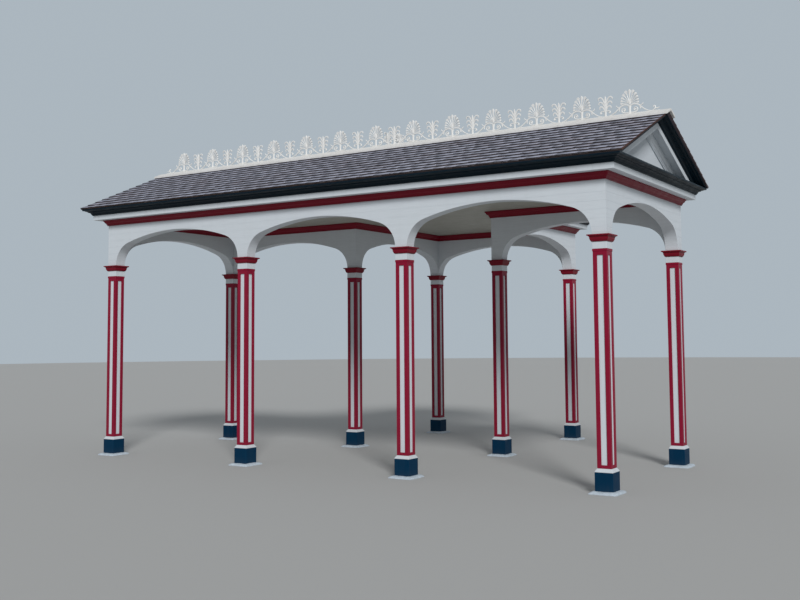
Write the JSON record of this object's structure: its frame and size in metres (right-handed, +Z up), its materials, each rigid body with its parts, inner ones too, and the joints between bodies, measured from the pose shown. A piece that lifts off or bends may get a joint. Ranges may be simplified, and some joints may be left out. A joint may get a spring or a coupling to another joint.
{
  "type": "park pavilion",
  "caption": "Open park pavilion: panelled square posts, arched walls, classical cornice with pediment gables, shingled T-shaped roof and cast palmette cresting.",
  "frame": {"origin": "middle of the overall plan at ground level", "axes": "+X along the main ridge, -Y towards the long front of three arches, +Z up"},
  "size_m": [7.64, 5.305, 4.2236],
  "materials": {
    "white_paint": "aged satin oil paint on boards",
    "crimson_paint": "satin paint",
    "navy_paint": "satin paint",
    "dark_paint": "satin paint",
    "ceiling_paint": "flat paint on narrow boards",
    "shingles": "weathered split shingles",
    "cresting_paint": "painted casting",
    "footing": "troweled mortar"
  },
  "bodies": {
    "root": {"arch_back_left": "white_paint", "arch_back_right": "white_paint", "arch_front_left": "white_paint", "arch_front_middle": "white_paint", "arch_front_right": "white_paint", "arch_left_end": "white_paint", "arch_right_end": "white_paint", "arch_wing_back": "white_paint", "arch_wing_left": "white_paint", "arch_wing_right": "white_paint", "bed_mould": "crimson_paint", "caps": "crimson_paint", "ceiling": "ceiling_paint", "ceiling_mould": "crimson_paint", "cornice_crown": "dark_paint", "cornice_fascia": "white_paint", "cresting_main": "cresting_paint", "cresting_wing": "cresting_paint", "footing_pads": "footing", "necks": "white_paint", "plinths": "navy_paint", "raking_crowns": "dark_paint", "raking_fascias": "white_paint", "raking_moulds": "white_paint", "ridge_boards": "white_paint", "roof_back_left": "shingles", "roof_back_right": "shingles", "roof_front": "shingles", "roof_wing_left": "shingles", "roof_wing_right": "shingles", "shaft_panels": "white_paint", "shafts": "crimson_paint", "tympanums": "white_paint", "weatherings": "white_paint"}
  },
  "joints": []
}
